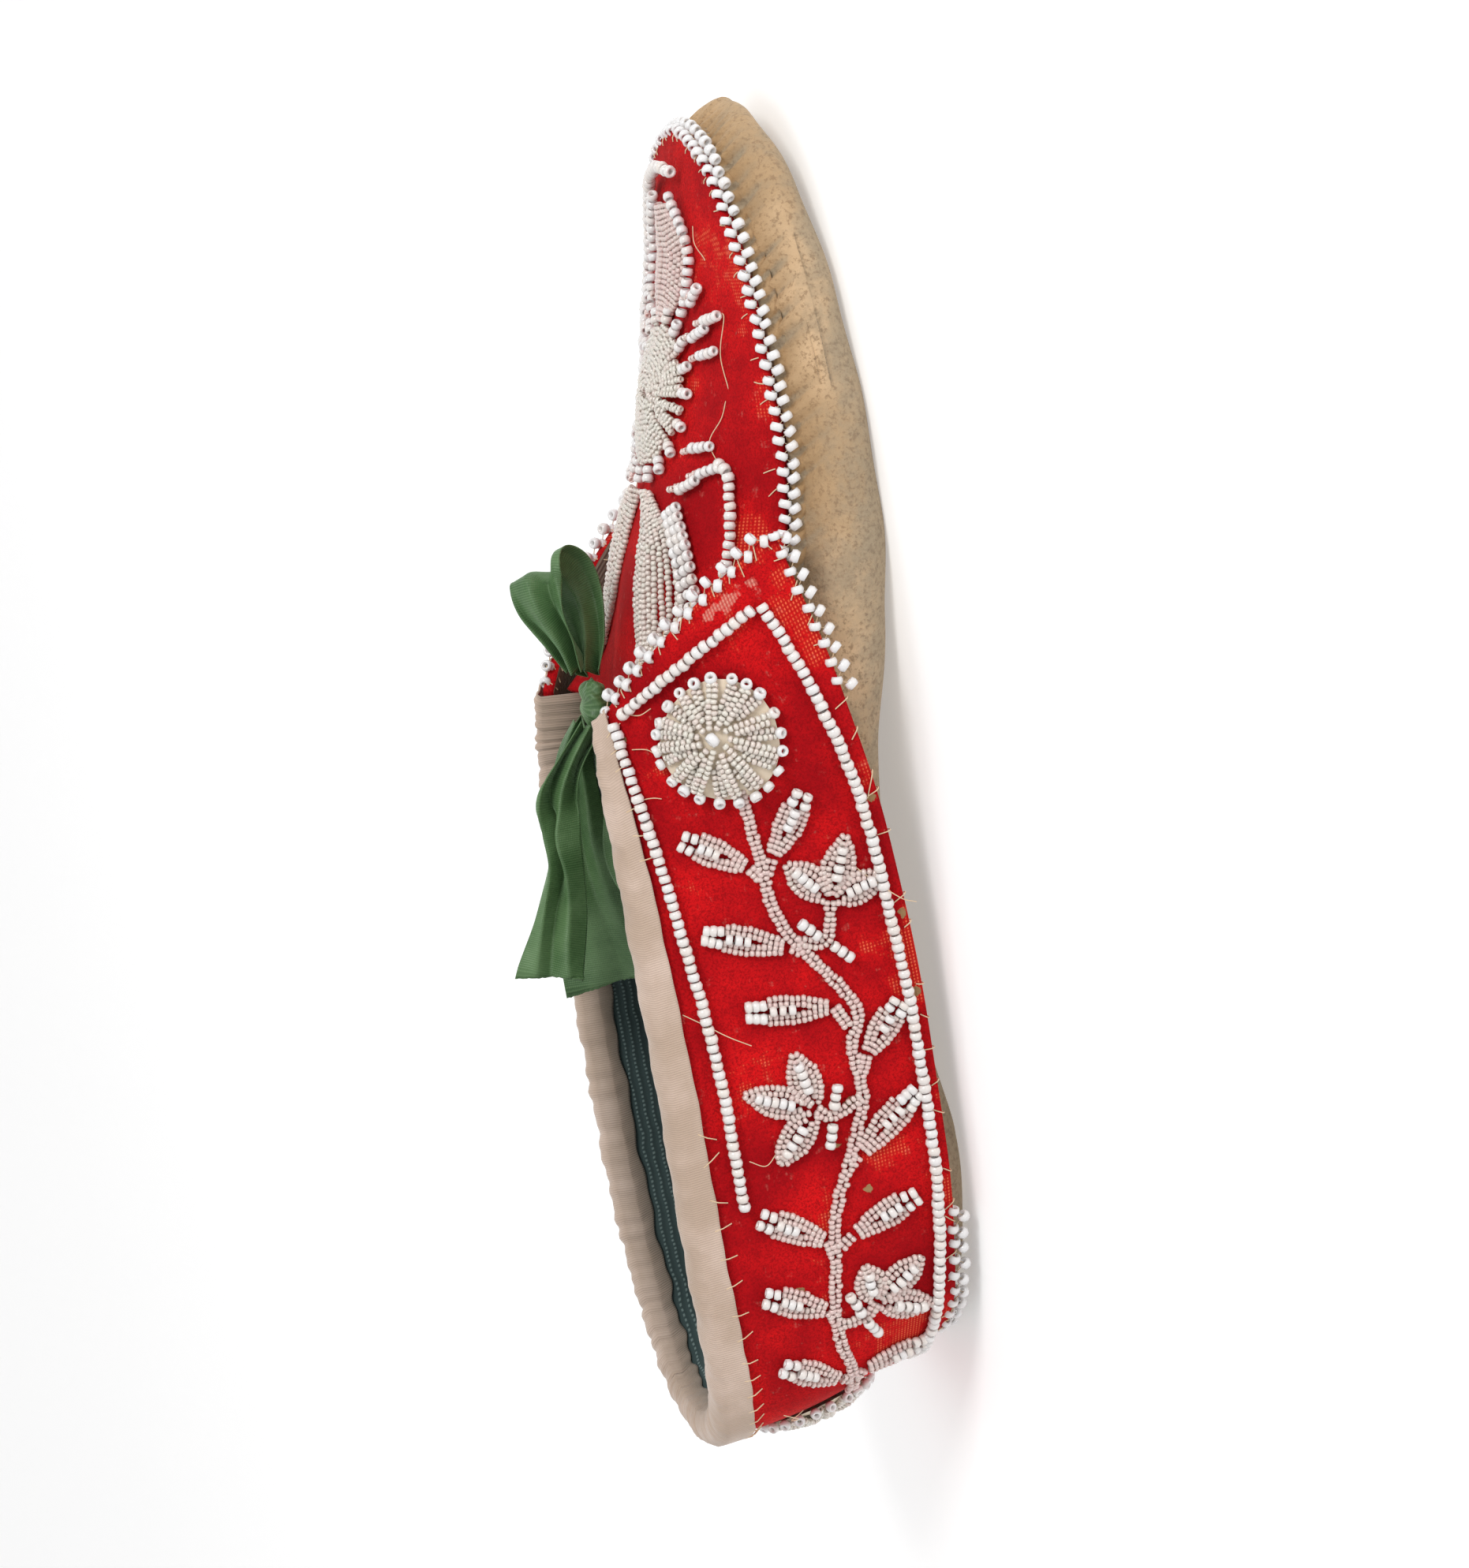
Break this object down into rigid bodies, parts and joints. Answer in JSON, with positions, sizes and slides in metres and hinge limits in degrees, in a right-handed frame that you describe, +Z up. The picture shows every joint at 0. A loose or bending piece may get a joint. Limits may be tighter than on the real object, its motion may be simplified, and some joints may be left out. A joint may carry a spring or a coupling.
{
  "type": "beaded moccasin",
  "caption": "Soft hide moccasin with a velvet vamp, a deep velvet cuff around the heel, raised beadwork, a bound collar and a ribbon bow.",
  "frame": {"origin": "on the floor under the middle of the heel", "axes": "+X towards the toe, +Y towards the wearer's left, +Z up"},
  "size_m": [0.2431, 0.0896, 0.0697],
  "materials": {
    "hide": "smoked hide, matt and finely napped",
    "velvet": "short cotton velvet, worn in places",
    "binding": "faded ribbed silk",
    "white_beads": "opaque white glass, glossy",
    "clear_beads": "clear glass over thread and card, glossy",
    "ribbon": "ribbed silk ribbon, slightly glossy"
  },
  "bodies": {
    "root": {"hide_bag": "hide", "vamp_panel": "velvet", "cuff": "velvet", "collar_binding": "binding", "vamp_bead_string": "white_beads", "hem_bead_string": "white_beads", "outline_bead_string_right": "white_beads", "outline_bead_string_left": "white_beads", "rosette_heel": "clear_beads", "rosette_left": "clear_beads", "rosette_right": "clear_beads", "vamp_motif": "clear_beads", "tie_strand": "ribbon", "ribbon_knot": "ribbon", "ribbon_loop_front": "ribbon", "ribbon_loop_back": "ribbon", "ribbon_tail_right": "ribbon", "ribbon_tail_left": "ribbon"}
  },
  "joints": []
}
